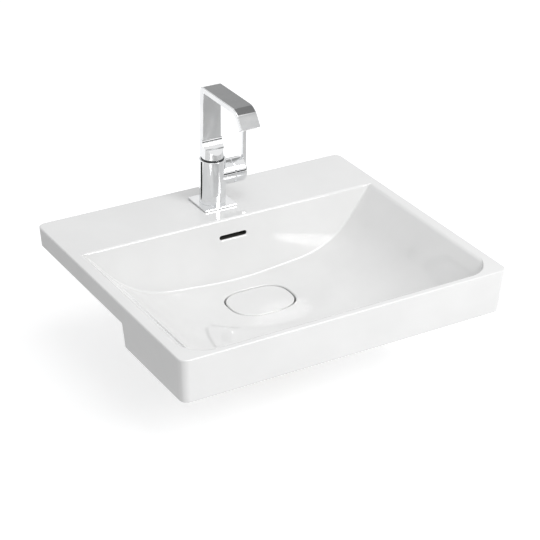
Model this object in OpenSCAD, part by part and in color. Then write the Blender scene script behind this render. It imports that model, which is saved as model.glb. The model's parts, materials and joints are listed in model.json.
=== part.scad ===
// Semi-recessed washbasin with a side-lever mixer tap and a push-open waste.
// Millimetres, +Z up. The origin is the middle of the basin's back edge on the worktop plane,
// +X to the right seen from the front, +Y towards the wall.

/* [Basin] */
// Width of the basin over its rim
basin_w = 550; // [480:5:650]
// Depth of the basin, front to back, over its rim
basin_d = 470; // [450:5:520]
// Height of the rim above the worktop
rim_h = 32.5; // [28:0.5:45]
// How far the front apron hangs below the worktop plane
apron_drop = 40; // [25:1:60]
// Depth of the apron's side returns, from the front edge back to the step
apron_d = 184; // [150:1:220]
// Lean of the step's back face over the apron's drop
step_lean = 5.6; // [0:0.2:8]
// Depth of the tap ledge behind the bowl
ledge_d = 124; // [116:1:150]
// Thickness of the tap ledge
ledge_t = 14; // [10:0.5:18]
// Thickness of the skirt under the rim
skirt_t = 13; // [10:0.5:16]
// Width of the flat rim at the sides of the bowl
side_rim = 14; // [10:0.5:20]
// Width of the rim in front of the bowl
front_rim = 9.4; // [8:0.2:14]
// Radius of the outer corners in plan
corner_r = 12.5; // [10:0.5:20]
// Rounding of the rim's outer top edge
edge_r = 3.5; // [2:0.5:5]
// Draft of the outer faces, in degrees
draft_a = 3.5; // [0:0.5:5]

/* [Bowl] */
// Depth of the bowl floor below the rim at the foot of the back wall
bowl_h = 98.5; // [85:0.5:110]
// Extra depth of the floor at the waste
dish_h = 6; // [3:0.5:9]
// Radius of the shallow dish round the waste
dish_r = 600; // [400:10:900]
// Slope of the upper side walls, in degrees
side_slope = 48; // [42:1:55]
// Radius of the bend between side wall and floor
bend_r = 165; // [120:5:180]
// Slope where the bend runs into the flat floor arc, in degrees
floor_slope = 5; // [4:0.5:7]
// Rounding of the side rims into the bowl
lip_r = 10; // [5:0.5:14]
// Lean of the back wall from upright, in degrees
back_lean = 11; // [6:1:15]
// Lean of the front wall from upright, in degrees
front_lean = 18; // [10:1:25]
// Radius of the bend between front wall and floor
front_bend_r = 70; // [40:5:90]
// Rounding of the tap ledge's edge over the bowl
ledge_edge_r = 4.5; // [2:0.5:7]
// Radius of the bowl's front corners in plan
bowl_corner_r = 48; // [30:1:70]
// Thickness of the bowl's ceramic
bowl_t = 11; // [9:0.5:13]

/* [Overflow] */
// Length of the overflow slot
slot_l = 48; // [36:1:60]
// Height of the overflow slot
slot_h = 6.6; // [5:0.2:9]
// Depth of the slot's centre below the rim
slot_drop = 29; // [24:1:36]
// Thickness of the hollow duct behind the back wall
duct_gap = 9; // [6:0.5:12]
// Width of the hollow duct
duct_w = 56; // [40:1:64]
// Ceramic round the duct
duct_t = 8; // [6:0.5:10]

/* [Waste] */
// Distance of the waste's centre from the basin's back edge
waste_back = 214; // [205:1:225]
// Length of the oval cover, side to side
cover_l = 108; // [96:1:120]
// Width of the oval cover, front to back
cover_w = 80; // [70:1:84]
// Thickness of the ceramic cover
cover_t = 7.5; // [6:0.5:9]
// Gap between the cover and its recess
cover_gap = 2.4; // [1.5:0.1:3.5]
// Depth of the recess under the cover
recess_h = 14; // [13:0.5:18]
// Diameter of the waste hole in the ceramic
waste_hole_d = 46; // [45:0.5:48]
// Thread diameter of the waste, a 1 1/4 inch pipe thread
waste_thread_d = 41.9; // [41:0.1:42.5]
// Bore of the waste
waste_bore_d = 35.6; // [32:0.2:36]
// Diameter of the waste's flange
flange_d = 64; // [58:1:66]
// Thickness of the waste's flange
flange_t = 2.6; // [2:0.2:4]
// Ceramic between the flange's seat and the underside of the waste boss
boss_h = 39; // [36:1:60]
// Length of the waste below its back nut
tail_l = 26; // [20:1:40]
// How far the cover rises when the waste is open
cover_lift = 8; // [5:0.5:9]

/* [Tap] */
// Distance of the tap hole from the basin's back edge
tap_back = 62; // [58:1:66]
// Diameter of the tap hole
tap_hole_d = 35; // [33:1:37]
// Side of the square base plate
plate_w = 57; // [50:1:64]
// Thickness of the base plate
plate_t = 2.5; // [1.5:0.1:4]
// Diameter of the upright tap body
body_d = 42; // [38:1:46]
// Height of the tap body above the lever's housing
collar_h = 8.5; // [7.5:0.5:20]
// Height of the lever's axis above the ledge
lever_h = 48.5; // [47:0.5:49]
// Diameter of the lever's housing and hub
hub_d = 40; // [38:0.5:41]
// Distance of the seam between housing and hub from the tap's axis
seam_x = 31; // [29:0.5:33]
// Distance of the hub's outer end from the tap's axis
hub_end = 53; // [52:0.5:58]

/* [Lever] */
// Distance of the lever's tilting pin from the tap's axis
pivot_x = 22; // [21.5:0.25:22.5]
// Side of the lever's square stem
stem_w = 8; // [7:0.2:8.4]
// Thickness of the lever blade, along the hub's axis
blade_t = 6; // [4:0.5:8]
// Width of the lever blade, front to back
blade_w = 7; // [5:0.5:12]
// Length of the lever blade above the hub's axis
blade_up = 78; // [60:1:100]

/* [Spout] */
// Height of the spout's top above the ledge
spout_top = 198; // [170:1:230]
// Width of the spout's flat strip
strip_w = 33; // [28:0.5:34]
// Thickness of the spout's arm
arm_t = 9.5; // [8:0.5:12]
// Back face of the riser behind the tap's axis
riser_back = 12; // [10.5:0.5:12.5]
// Front face of the riser behind the tap's axis
riser_front = 1.5; // [0:0.25:2]
// Outer radius of the bend between riser and arm
top_r = 11; // [9:0.5:14]
// Distance from the tap's axis to the start of the nose bend
nose_y = 86; // [70:1:110]
// Outer radius of the nose bend
nose_r = 27; // [20:0.5:34]
// Angle of the nose bend, in degrees
nose_a = 56; // [45:1:65]
// Straight length of the nose after its bend
nose_l = 17; // [12:0.5:26]
// Diameter of the spout's round foot
foot_d = 35; // [34:0.5:36]
// Radius of the sweep between foot and riser
sweep_r = 15; // [10:1:20]
// Distance of the sweep's front edge before the tap's axis
sweep_y = 10.5; // [8:0.5:12]
// Height of the upright part of the foot's front
foot_h = 9; // [6:0.5:12]
// Height of the sloped face between the foot's front and the sweep
slope_h = 7.3; // [4:0.1:9]

/* [Hidden] */

// Overrun of every cut past the face that it opens
over = 1;
// Running fit, radial, of a shaft or pin that turns in its hole
run_fit = 0.05;
// Free gap between pieces that move past each other
free_gap = 0.35;
// Small step by which a piece stays short of its neighbour's edge
step = 1;
// Points on a quarter of a rounded edge
arc_n = 5;
// Roundness of large and small circles
$fn = 72;
fine_fn = 40;

// Levels and places of the basin
half_w = basin_w / 2;
back_y = inset(0);
front_y = back_y - basin_d;
bowl_back_y = back_y - ledge_d;
step_y = front_y + apron_d;
floor_z = rim_h - bowl_h;
drain_z = floor_z - dish_h;
drain_y = back_y - waste_back;
void_z = rim_h - ledge_t;
lap = 2;

// Levels of the waste, downwards from the bowl floor
seat_t = 3;
seal_t = 1.5;
recess_z = drain_z - recess_h;
seat_z = recess_z - seat_t;
flange_z = seat_z + seal_t;
boss_z = seat_z - boss_h;
boss_r = waste_hole_d / 2 + 13;
chamber_r = waste_hole_d / 2 + 8;
chamber_h = 12;
chamber_z = boss_z + 11;
thread_r = waste_thread_d / 2;
bore_r = waste_bore_d / 2;

// Pieces under the waste boss
lower_seal_h = 8;
lower_washer_h = 2.5;
nut_h = 12;
nut_af_r = 31;
nut_z = boss_z - lower_seal_h - lower_washer_h - nut_h;
relief_w = 1.2;
relief_t = 0.8;
tail_z = nut_z - relief_w - tail_l;

// Pieces that carry the cover
holder_t = 3;
holder_r = 29;
plunger_r = bore_r + 3;
plunger_t = 3;
plunger_z = drain_z - cover_t - holder_t - plunger_t;
socket_r = 9;
stem_r = 4;
guide_z = chamber_z + chamber_h + 2;
guide_h = 5;
guide_hole_r = 4;
plunger_stem_l = plunger_z - guide_z + 9;
ring_r = 1.2;

// Tap: levels above the ledge and places along the lever's axis
gasket_t = 1;
plate_z = gasket_t;
foot_z = plate_z + plate_t;
spigot_r = tap_hole_d / 2 - 1;
spigot_drop = 4;
body_r = body_d / 2;
hub_r = hub_d / 2;
body_h = lever_h + hub_r + collar_h;
dome_r = sqrt(pow(hub_r, 2) + pow(seam_x - pivot_x, 2));
hub_hollow_r = dome_r + free_gap;

cartridge_r = 12.8;
cartridge_x = 8;
socket_floor = 2.6;
shank_r = 12;
swivel_t = 1.4;
spout_z = body_h + swivel_t + free_gap;
socket_z = lever_h + cartridge_r + socket_floor;
shank_z = socket_z + free_gap;
shank_l = spout_z - shank_z;
seal_shares = [0.13, 0.34];
lock_share = 0.57;
lock_r = 2;
lock_tip_r = 1.1;
lock_z = shank_z + lock_share * shank_l;
groove_h = 3;
groove_t = 1.6;

inlet_x = -4;
inlet_y = 9.5;
inlet_r = 4.5;
inlet_l = 18;
way_r = 2.5;
way_drop = 2.5;
mix_r = 6;
mix_x = -3;
riser_way_r = 3.5;
stud_x = 9.5;
stud_r = 4;
stud_up = 8;
stud_l = 88;

// Cartridge, along the lever's axis
cartridge_seal_t = 0.8;
base_t = 3;
disc_t = 2.8;
moving_t = 4;
disc_r = 11;
moving_r = 7.5;
sleeve_t = 1.3;
sleeve_r = cartridge_r - 0.3;
fixed_x = cartridge_x + cartridge_seal_t + base_t;
moving_x = fixed_x + disc_t + run_fit;
carrier_x = moving_x + moving_t + 0.5;
carrier_l = 10.5;
carrier_r = sleeve_r - sleeve_t - free_gap;
sleeve_end = 27;
nut_x = sleeve_end + 0.2;
nut_l = 6;
ball_r = 1.8;
ball_x = moving_x + 2.9;
pocket_r = 2.4;
pocket_l = 3.2;
neck_r = 1.4;
pin_r = 1.5;
slot_half = 8;
stem_x = carrier_x + 0.8;
stem_fit = 0.05;
tenon_r = 4;
tenon_l = 2.4;
stem_end = hub_end - tenon_l - step;
set_r = 2;
set_x = pivot_x + hub_hollow_r + free_gap + set_r;
set_sink = 1.2;

// Spout: straight parts and the channel in them
channel_wall = 2.2;
channel_w = 24;
inner_r = 2;
shank_bore_r = 8;
aerator_l = 6;
aerator_fit = 0.1;
aerator_hole_r = 0.9;
aerator_cols = 9;

// Fixing set under the ledge
pad_t = 3;
pad_r = 22;
clamp_t = 2.5;
fix_nut_h = 12;
fix_nut_r = 7.5;
mouth_w = 16;

// Inset of the drafted outer face at height z
function inset(z) = (rim_h - z) * tan(draft_a);

// Points on an arc about c from angle a0 to a1
function arc(c, r, a0, a1, n = arc_n) =
    [for (i = [0:n]) let (a = a0 + (a1 - a0) * i / n) [c[0] + r * cos(a), c[1] + r * sin(a)]];

// Face of the bowl's back wall at height z
function back_wall(z) = bowl_back_y - (rim_h - z) * tan(back_lean);

// Run of the ledge's rounded edge, and the middle of the bend at the front
edge_run = ledge_edge_r * tan(45 - back_lean / 2);
front_bend_y = front_y + front_rim + front_bend_r / cos(front_lean)
    + (rim_h - floor_z - front_bend_r) * tan(front_lean);

// Half of the bowl's cross-section from the rim down to the middle of the floor, grown by t into
// the ceramic. The upper wall is straight, then a bend, then a flat arc that ends level at x = 0.
bend_n = 10;
floor_n = 4;
wall_top = [half_w - side_rim - lip_r * sin(side_slope), rim_h - lip_r * (1 - cos(side_slope))];
fall = bowl_h - (rim_h - wall_top[1]) - bend_r * (cos(floor_slope) - cos(side_slope));
reach = wall_top[0] - bend_r * (sin(side_slope) - sin(floor_slope));
floor_r = (reach * sin(side_slope) - fall * cos(side_slope))
    / (sin(floor_slope) * sin(side_slope) - (1 - cos(floor_slope)) * cos(side_slope));
function bowl_half(t) = concat(
    arc([wall_top[0] - (reach - floor_r * sin(floor_slope)) - bend_r * sin(side_slope),
         floor_z + floor_r * (1 - cos(floor_slope)) + bend_r * cos(floor_slope)],
        bend_r + t, side_slope - 90, floor_slope - 90, bend_n),
    arc([0, floor_z + floor_r], floor_r + t, floor_slope - 90, -90, floor_n));
function mirrored(pts) = [for (i = [len(pts) - 1:-1:0]) [-pts[i][0], pts[i][1]]];

// The whole cross-section: open at the top, with rounded lips where t is zero
function bowl_section(t) =
    let (lips = t > 0
            ? [[wall_top[0] + t * sin(side_slope) + (rim_h - wall_top[1]) / tan(side_slope),
                rim_h - t * cos(side_slope)]]
            : concat([[half_w - side_rim, rim_h + over]],
                arc([half_w - side_rim, rim_h - lip_r], lip_r, 90, 90 + side_slope)),
         half = concat(lips, bowl_half(t)))
    concat(half, mirrored(half));

// Superellipse with half axes a and b
oval_n = 56;
oval_power = 2.7;
function oval(a, b) = [for (i = [0:oval_n - 1]) let (u = 360 * i / oval_n)
    [a * sign(cos(u)) * pow(abs(cos(u)), 2 / oval_power),
     b * sign(sin(u)) * pow(abs(sin(u)), 2 / oval_power)]];

// Outline of a profile in Y and Z, run along X over a width about the middle
module across(w) {
    translate([-w / 2, 0, 0]) rotate([90, 0, 90]) linear_extrude(w) children();
}

// Outline of a profile in X and Z, run along Y from y0 to y1
module lengthwise(y0, y1) {
    translate([0, y1, 0]) rotate([90, 0, 0]) linear_extrude(y1 - y0) children();
}

module rounded_plan(w, y0, y1, r) {
    translate([-w / 2 + r, y0]) square([w - 2 * r, y1 - y0]);
    translate([-w / 2, y0 + r]) square([w, y1 - y0 - 2 * r]);
    for (x = [-w / 2 + r, w / 2 - r], y = [y0 + r, y1 - r]) translate([x, y]) circle(r);
}

// Block of the basin's outline from the rim down to zb, drafted, with a rounded top edge
module outer_block(zb) {
    d = inset(zb);
    lengthwise(front_y + corner_r, back_y - corner_r) polygon(concat(
        [[half_w - d, zb]], arc([half_w - edge_r, rim_h - edge_r], edge_r, 0, 90),
        arc([edge_r - half_w, rim_h - edge_r], edge_r, 90, 180), [[d - half_w, zb]]));
    across(basin_w - 2 * corner_r) polygon(concat(
        [[back_y - d, zb]], arc([back_y - edge_r, rim_h - edge_r], edge_r, 0, 90),
        arc([front_y + edge_r, rim_h - edge_r], edge_r, 90, 180), [[front_y + d, zb]]));
    for (x = [corner_r - half_w, half_w - corner_r], y = [front_y + corner_r, back_y - corner_r])
        translate([x, y, 0]) rotate_extrude() polygon(concat(
            [[0, zb], [corner_r - d, zb]],
            arc([corner_r - edge_r, rim_h - edge_r], edge_r, 0, 90), [[0, rim_h]]));
}

// Bowl's space, or with t the outside of its ceramic
module bowl_space(t) {
    deep = dish_h + dish_r;
    intersection() {
        union() {
            lengthwise(front_y, back_y) polygon(bowl_section(t));
            intersection() {
                translate([0, drain_y, drain_z + dish_r]) sphere(dish_r + t);
                translate([-half_w / 2, front_y, drain_z - t - over])
                    cube([half_w, basin_d, 3 * dish_h + t + over]);
            }
        }
        across(basin_w) polygon(concat(t > 0
            ? [[back_wall(rim_h) + t / cos(back_lean), rim_h + over]]
            : concat([[bowl_back_y + edge_run, rim_h + over]],
                arc([bowl_back_y + edge_run, rim_h - ledge_edge_r], ledge_edge_r, 90, 180 - back_lean)),
            [[back_wall(drain_z) + t / cos(back_lean), drain_z - t - over],
             [front_bend_y, drain_z - t - over], [front_bend_y, floor_z - t]],
            arc([front_bend_y, floor_z + front_bend_r], front_bend_r + t, -90, front_lean - 180, bend_n),
            [[front_y + front_rim - t / cos(front_lean), rim_h + over]]));
    }
}

module basin_body() color("white") difference() {
    union() {
        difference() {
            union() {
                outer_block(0);
                intersection() {
                    outer_block(-apron_drop);
                    across(basin_w) polygon([[front_y - over, -apron_drop - over],
                        [step_y - step_lean, -apron_drop], [step_y, 0], [step_y, rim_h],
                        [front_y - over, rim_h + over]]);
                }
            }
            translate([0, 0, -apron_drop - over]) linear_extrude(apron_drop + over + void_z)
                rounded_plan(basin_w - 2 * skirt_t, front_y + skirt_t, back_y - skirt_t,
                    corner_r / 2);
        }
        intersection() {
            bowl_space(bowl_t);
            translate([0, 0, drain_z - bowl_t - over]) linear_extrude(void_z + lap + over + bowl_t - drain_z)
                rounded_plan(basin_w - 2 * skirt_t + 2 * lap, front_y + skirt_t - lap,
                    back_y - skirt_t, corner_r / 2);
        }
        waste_boss();
        overflow_duct(duct_t);
    }
    intersection() {
        bowl_space(0);
        linear_extrude(4 * bowl_h, center = true) union() {
            translate([side_rim - half_w, front_y + front_rim + bowl_corner_r])
                square([basin_w - 2 * side_rim, basin_d]);
            translate([side_rim + bowl_corner_r - half_w, front_y])
                square([basin_w - 2 * side_rim - 2 * bowl_corner_r, basin_d]);
            for (s = [-1, 1])
                translate([s * (half_w - side_rim - bowl_corner_r), front_y + front_rim + bowl_corner_r])
                    circle(bowl_corner_r);
        }
    }
    overflow_duct(0);
    overflow_slot();
    waste_opening();
    translate([0, back_y - tap_back, void_z - over]) cylinder(d = tap_hole_d, h = ledge_t + 2 * over);
}

// Ceramic under the bowl that holds the cover's recess and the waste
module waste_boss() {
    translate([0, drain_y, 0]) {
        translate([0, 0, recess_z - bowl_t]) linear_extrude(recess_h + bowl_t)
            polygon(oval(cover_l / 2 + cover_gap + bowl_t, cover_w / 2 + cover_gap + bowl_t));
        translate([0, 0, boss_z]) cylinder(r = boss_r, h = recess_z - boss_z);
    }
}

module waste_opening() {
    translate([0, drain_y, 0]) {
        translate([0, 0, recess_z]) linear_extrude(recess_h + dish_h)
            polygon(oval(cover_l / 2 + cover_gap, cover_w / 2 + cover_gap));
        translate([0, 0, seat_z]) cylinder(d = flange_d + 2 * step, h = seat_t + over);
        translate([0, 0, boss_z - over]) cylinder(d = waste_hole_d, h = boss_h + 2 * over);
        translate([0, 0, chamber_z]) cylinder(r = chamber_r, h = chamber_h);
    }
}

// Duct from the slot down behind the wall and under the floor to the chamber round the waste.
// With t it is the ceramic round the hollow.
module overflow_duct(t) {
    top = rim_h - slot_drop + duct_gap + t;
    near = bowl_t - 2;
    under = recess_z - duct_t;
    low = chamber_z - t;
    across(duct_w + 2 * t) polygon(concat([
        [back_wall(top) + near - t, top],
        [back_wall(top) + near + duct_gap + t, top],
        [back_wall(under) + near + duct_gap + t, under + duct_gap / 2],
        [back_wall(low) - duct_gap + t, low],
        [drain_y, low]],
        t > 0
            ? [[drain_y, drain_z], [back_wall(floor_z), floor_z]]
            : [[drain_y, chamber_z + chamber_h], [drain_y + chamber_r, chamber_z + chamber_h],
               [back_wall(under) + near, under + duct_gap]]));
}

module overflow_slot() {
    z = rim_h - slot_drop;
    r = slot_h / 2;
    lengthwise(back_wall(z) - duct_t, back_wall(z) + bowl_t) translate([0, z]) union() {
        square([slot_l - slot_h, slot_h], center = true);
        for (s = [-1, 1]) translate([s * (slot_l / 2 - r), 0]) circle(r, $fn = fine_fn);
    }
}

// Tube or ring about Z
module ring(r_out, r_in, h) {
    difference() {
        cylinder(r = r_out, h = h);
        translate([0, 0, -over]) cylinder(r = r_in, h = h + 2 * over);
    }
}

module at_drain() translate([0, drain_y, 0]) children();
module at_tap() translate([0, back_y - tap_back, rim_h]) children();

// Frame on the lever's axis: local z runs to the right along the axis, local -x points up
module on_lever(x) translate([x, back_y - tap_back, rim_h + lever_h]) rotate([0, 90, 0]) children();

// Ceramic cover with an eased top edge
cover_ease = 1.5;
module waste_cover() color("white") at_drain() {
    translate([0, 0, drain_z - cover_t]) linear_extrude(cover_t - cover_ease)
        polygon(oval(cover_l / 2, cover_w / 2));
    translate([0, 0, drain_z - cover_ease - lap / 2]) linear_extrude(cover_ease + lap / 2)
        polygon(oval(cover_l / 2 - cover_ease, cover_w / 2 - cover_ease));
}

module cover_holder() color("gainsboro") at_drain()
    translate([0, 0, drain_z - cover_t - holder_t]) difference() {
        cylinder(r = holder_r, h = holder_t);
        for (a = [0:60:300]) rotate(a) translate([holder_r * 0.68, 0, -over])
            cylinder(r = holder_t, h = holder_t + 2 * over, $fn = fine_fn);
    }

// Head, collar and stem of the push-open mechanism
module plunger() color("silver") at_drain() {
    difference() {
        translate([0, 0, plunger_z]) cylinder(r = plunger_r, h = plunger_t);
        translate([0, 0, plunger_z]) rotate_extrude()
            translate([plunger_r, plunger_t / 2]) circle(ring_r, $fn = fine_fn);
    }
    translate([0, 0, plunger_z - plunger_t]) cylinder(r = socket_r, h = plunger_t);
    translate([0, 0, plunger_z - plunger_stem_l]) cylinder(r = stem_r, h = plunger_stem_l);
}

module plunger_seal() color("dimgray") at_drain() translate([0, 0, plunger_z])
    rotate_extrude() translate([plunger_r, plunger_t / 2]) circle(ring_r, $fn = fine_fn);

// Spring that lifts the cover: a helix of round wire between the guide and the plunger
wire_r = 0.7;
spring_r = 6.6;
spring_turns = 4;
spring_sides = 6;
turn_steps = 16;
spring_h = plunger_z - plunger_t - guide_z - guide_h - 2 * free_gap;
function spring_point(i, k) =
    let (a = 360 * i / turn_steps, b = 360 * k / spring_sides, r = spring_r + wire_r * cos(b),
         rise = (spring_h - 2 * wire_r) * i / (spring_turns * turn_steps))
    [r * cos(a), r * sin(a), wire_r + rise + wire_r * sin(b)];
module plunger_spring() color("lightsteelblue") at_drain()
    translate([0, 0, guide_z + guide_h + free_gap]) {
        n = spring_turns * turn_steps;
        m = spring_sides;
        polyhedron(
            points = [for (i = [0:n], k = [0:m - 1]) spring_point(i, k)],
            faces = concat(
                [for (i = [0:n - 1], k = [0:m - 1])
                    [i * m + k, i * m + (k + 1) % m, (i + 1) * m + k]],
                [for (i = [0:n - 1], k = [0:m - 1])
                    [i * m + (k + 1) % m, (i + 1) * m + (k + 1) % m, (i + 1) * m + k]],
                [for (k = [1:m - 2]) [0, k + 1, k]],
                [for (k = [1:m - 2]) [n * m, n * m + k, n * m + k + 1]]));
    }

// Disc pressed into the waste: it guides the plunger's stem and lets the water through its holes
module plunger_guide() color("whitesmoke") at_drain() translate([0, 0, guide_z]) difference() {
    cylinder(r = bore_r - run_fit, h = guide_h);
    translate([0, 0, -over]) cylinder(r = stem_r + run_fit, h = guide_h + 2 * over);
    for (a = [0:60:300]) rotate(a) translate([(bore_r + stem_r) / 2, 0, -over])
        cylinder(r = guide_hole_r, h = guide_h + 2 * over, $fn = fine_fn);
}

// Flange, seat and threaded barrel in one turned piece, with windows for the overflow water
module waste_body() color("silver") at_drain() difference() {
    union() {
        translate([0, 0, flange_z]) cylinder(d = flange_d, h = flange_t);
        translate([0, 0, tail_z]) cylinder(r = thread_r, h = flange_z - tail_z + over);
    }
    translate([0, 0, tail_z - over]) cylinder(r = bore_r, h = flange_z + flange_t - tail_z + 2 * over);
    translate([0, 0, flange_z - flange_t])
        cylinder(r1 = bore_r, r2 = plunger_r + ring_r + free_gap + step, h = 2 * flange_t + over);
    for (a = [0, 90]) rotate(a) translate([0, 0, chamber_z + chamber_h / 2])
        cube([2 * thread_r + over, 2 * stem_r, chamber_h - 2 * step], center = true);
    translate([0, 0, tail_z + tail_l]) ring(thread_r + over, thread_r - relief_t, relief_w);
}

module flange_seal() color("dimgray") at_drain() translate([0, 0, seat_z])
    ring(flange_d / 2 - step, thread_r + free_gap, seal_t);

module lower_seal() color("dimgray") at_drain() translate([0, 0, boss_z - lower_seal_h]) difference() {
    cylinder(r1 = boss_r - step, r2 = waste_hole_d / 2 + 4, h = lower_seal_h);
    translate([0, 0, -over]) cylinder(r = thread_r + run_fit, h = lower_seal_h + 2 * over);
}

module lower_washer() color("gainsboro") at_drain()
    translate([0, 0, boss_z - lower_seal_h - lower_washer_h])
        ring(boss_r - step, thread_r + run_fit, lower_washer_h);

module back_nut() color("goldenrod") at_drain() translate([0, 0, nut_z]) difference() {
    union() {
        cylinder(r = nut_af_r / cos(30), h = nut_h - lap, $fn = 6);
        translate([0, 0, nut_h - lap]) cylinder(r = nut_af_r, h = lap);
    }
    translate([0, 0, -over]) cylinder(r = thread_r + run_fit, h = nut_h + 2 * over);
}

// Square plate and its gasket under the tap body
module plate(w, h, r) {
    difference() {
        translate([-w / 2, -w / 2, 0]) cube([w, w, h]);
        translate([0, 0, -over]) cylinder(r = r, h = h + 2 * over);
    }
}

module base_gasket() color("dimgray") at_tap() plate(plate_w - 4 * step, gasket_t, spigot_r + run_fit);

module base_plate() color("silver") at_tap() translate([0, 0, plate_z])
    plate(plate_w, plate_t, spigot_r + run_fit);

// Upright body, the lever's housing with its domed end, and the ways for the water
module tap_body() color("silver") difference() {
    union() {
        at_tap() translate([0, 0, foot_z]) cylinder(r = body_r, h = body_h - foot_z);
        at_tap() translate([0, 0, -spigot_drop]) cylinder(r = spigot_r, h = foot_z + spigot_drop + over);
        on_lever(0) cylinder(r = hub_r, h = seam_x);
        intersection() {
            on_lever(pivot_x) sphere(dome_r);
            on_lever(seam_x - over) cylinder(r = hub_r, h = dome_r);
        }
    }
    on_lever(cartridge_x) cylinder(r = cartridge_r, h = pivot_x + dome_r);
    on_lever(mix_x) cylinder(r = mix_r, h = cartridge_x - mix_x + over);
    at_tap() {
        translate([0, 0, socket_z]) cylinder(r = shank_r + run_fit, h = body_h - socket_z + over);
        translate([0, 0, lever_h]) cylinder(r = riser_way_r, h = socket_z - lever_h + over);
        for (s = [-1, 1]) translate([inlet_x, s * inlet_y, 0]) {
            translate([0, 0, -spigot_drop - over]) cylinder(r = inlet_r, h = inlet_l + over);
            cylinder(r = way_r, h = lever_h - way_drop);
        }
        translate([stud_x, 0, -spigot_drop - over]) cylinder(r = stud_r + run_fit,
            h = stud_up + spigot_drop + over);
        translate([0, shank_r - over, lock_z]) rotate([-90, 0, 0])
            cylinder(r = lock_r + run_fit, h = body_r, $fn = fine_fn);
    }
    for (s = [-1, 1]) on_lever(inlet_x) translate([way_drop, s * inlet_y, 0])
        cylinder(r = way_r, h = cartridge_x - inlet_x + over);
}

module swivel_ring() color("dimgray") at_tap() translate([0, 0, body_h])
    ring(foot_d / 2 + step, shank_r + free_gap, swivel_t);

// Outline of the flat strip in Y and Z above the tap's axis, from the riser to the nose.
// With t it is the outline of the channel inside.
function strip_outline(t, zb) =
    let (nose_c = [-nose_y, spout_top - nose_r], a = 90 + nose_a,
         along = [-cos(nose_a) * nose_l, -sin(nose_a) * nose_l],
         r_out = nose_r - t, r_in = nose_r - arm_t + t)
    concat(
        [[riser_back - t, zb]],
        arc([riser_back - top_r, spout_top - top_r], top_r - t, 0, 90),
        arc(nose_c, r_out, 90, a),
        [nose_c + r_out * [cos(a), sin(a)] + along * (t > 0 ? 1 + over / nose_l : 1)],
        [nose_c + r_in * [cos(a), sin(a)] + along * (t > 0 ? 1 + over / nose_l : 1)],
        arc(nose_c, r_in, a, 90),
        arc([riser_front - inner_r, spout_top - arm_t - inner_r], inner_r + t, 90, 0),
        [[riser_front + t, zb]]);

// Foot of the spout in Y and Z: upright front, sloped face, then a hollow sweep into the riser
function foot_outline() =
    let (foot_r = foot_d / 2, edge_z = spout_z + foot_h + slope_h,
         turn = acos((sweep_r - riser_front - sweep_y) / sweep_r), top = edge_z + sweep_r * sin(turn))
    concat(
        [[riser_back, spout_z], [riser_back, top]],
        arc([riser_front - sweep_r, top], sweep_r, 0, -turn, 2 * arc_n),
        [[-foot_r, spout_z + foot_h], [-foot_r, spout_z]]);

module spout() color("silver") at_tap() difference() {
    union() {
        across(strip_w) polygon(strip_outline(0, spout_z));
        intersection() {
            across(foot_d + over) polygon(foot_outline());
            translate([0, 0, spout_z]) cylinder(d = foot_d, h = spout_top);
        }
        translate([0, 0, shank_z]) cylinder(r = shank_r, h = shank_l + over);
    }
    across(channel_w) polygon(strip_outline(channel_wall, spout_z + foot_d / 4));
    translate([0, 0, shank_z - over]) cylinder(r = shank_bore_r, h = shank_l + over + foot_d / 4 + lap);
    for (z = seal_levels) translate([0, 0, z])
        rotate_extrude() translate([shank_r - ring_r + run_fit, 0]) circle(ring_r, $fn = fine_fn);
    translate([0, 0, lock_z - groove_h / 2]) ring(shank_r + over, shank_r - groove_t, groove_h);
}

// Two O-rings in grooves on the spout's shank
seal_levels = [for (share = seal_shares) shank_z + share * shank_l];
module spout_seals() color("dimgray") at_tap() for (z = seal_levels) translate([0, 0, z])
    rotate_extrude() translate([shank_r - ring_r + run_fit - run_fit / 2, 0])
        circle(ring_r - run_fit / 2, $fn = fine_fn);

// Grub screw in the back of the body; its point runs in the shank's groove
module spout_lock_screw() color("gray") at_tap() translate([0, 0, lock_z]) rotate([-90, 0, 0]) difference() {
    union() {
        translate([0, 0, shank_r + 2 * free_gap])
            cylinder(r = lock_r, h = body_r - shank_r - 3 * free_gap, $fn = fine_fn);
        translate([0, 0, shank_r - groove_t + free_gap])
            cylinder(r = lock_tip_r, h = groove_t + over, $fn = fine_fn);
    }
    translate([0, 0, body_r - 2 * step]) cylinder(r = lock_tip_r, h = 3 * step, $fn = 6);
}

// Flat strip of fine nozzles in the end of the spout
module aerator() color("whitesmoke") at_tap() {
    w = channel_w - 2 * aerator_fit;
    h = arm_t - 2 * channel_wall - 2 * aerator_fit;
    pitch = w / (aerator_cols + 1);
    translate([0, -nose_y, spout_top - nose_r]) rotate([nose_a, 0, 0])
        translate([0, -nose_l, nose_r - arm_t / 2]) difference() {
            translate([-w / 2, 0, -h / 2]) cube([w, aerator_l, h]);
            for (i = [1:aerator_cols], s = [-1, 1])
                translate([i * pitch - w / 2, -over, s * h / 4]) rotate([-90, 0, 0])
                    cylinder(r = aerator_hole_r, h = aerator_l + 2 * over, $fn = 14);
        }
}

// Cartridge: base, face seal and fixed disc, each with two inlet ports and a middle outlet
port_y = 5;
outlet_r = 3.2;
module ports(outer, l) {
    translate([0, 0, -over]) cylinder(r = outlet_r, h = l + 2 * over, $fn = fine_fn);
    for (s = [-1, 1]) translate([way_drop - way_r, s > 0 ? port_y : -outer, -over])
        cube([2 * way_r, outer - port_y, l + 2 * over]);
}

module cartridge_seals() color("dimgray") on_lever(cartridge_x) difference() {
    cylinder(r = sleeve_r, h = cartridge_seal_t);
    ports(inlet_y + step, cartridge_seal_t);
}

module cartridge_base() color("whitesmoke") on_lever(fixed_x - base_t) difference() {
    cylinder(r = sleeve_r, h = base_t);
    ports(inlet_y + step, base_t);
}

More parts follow.
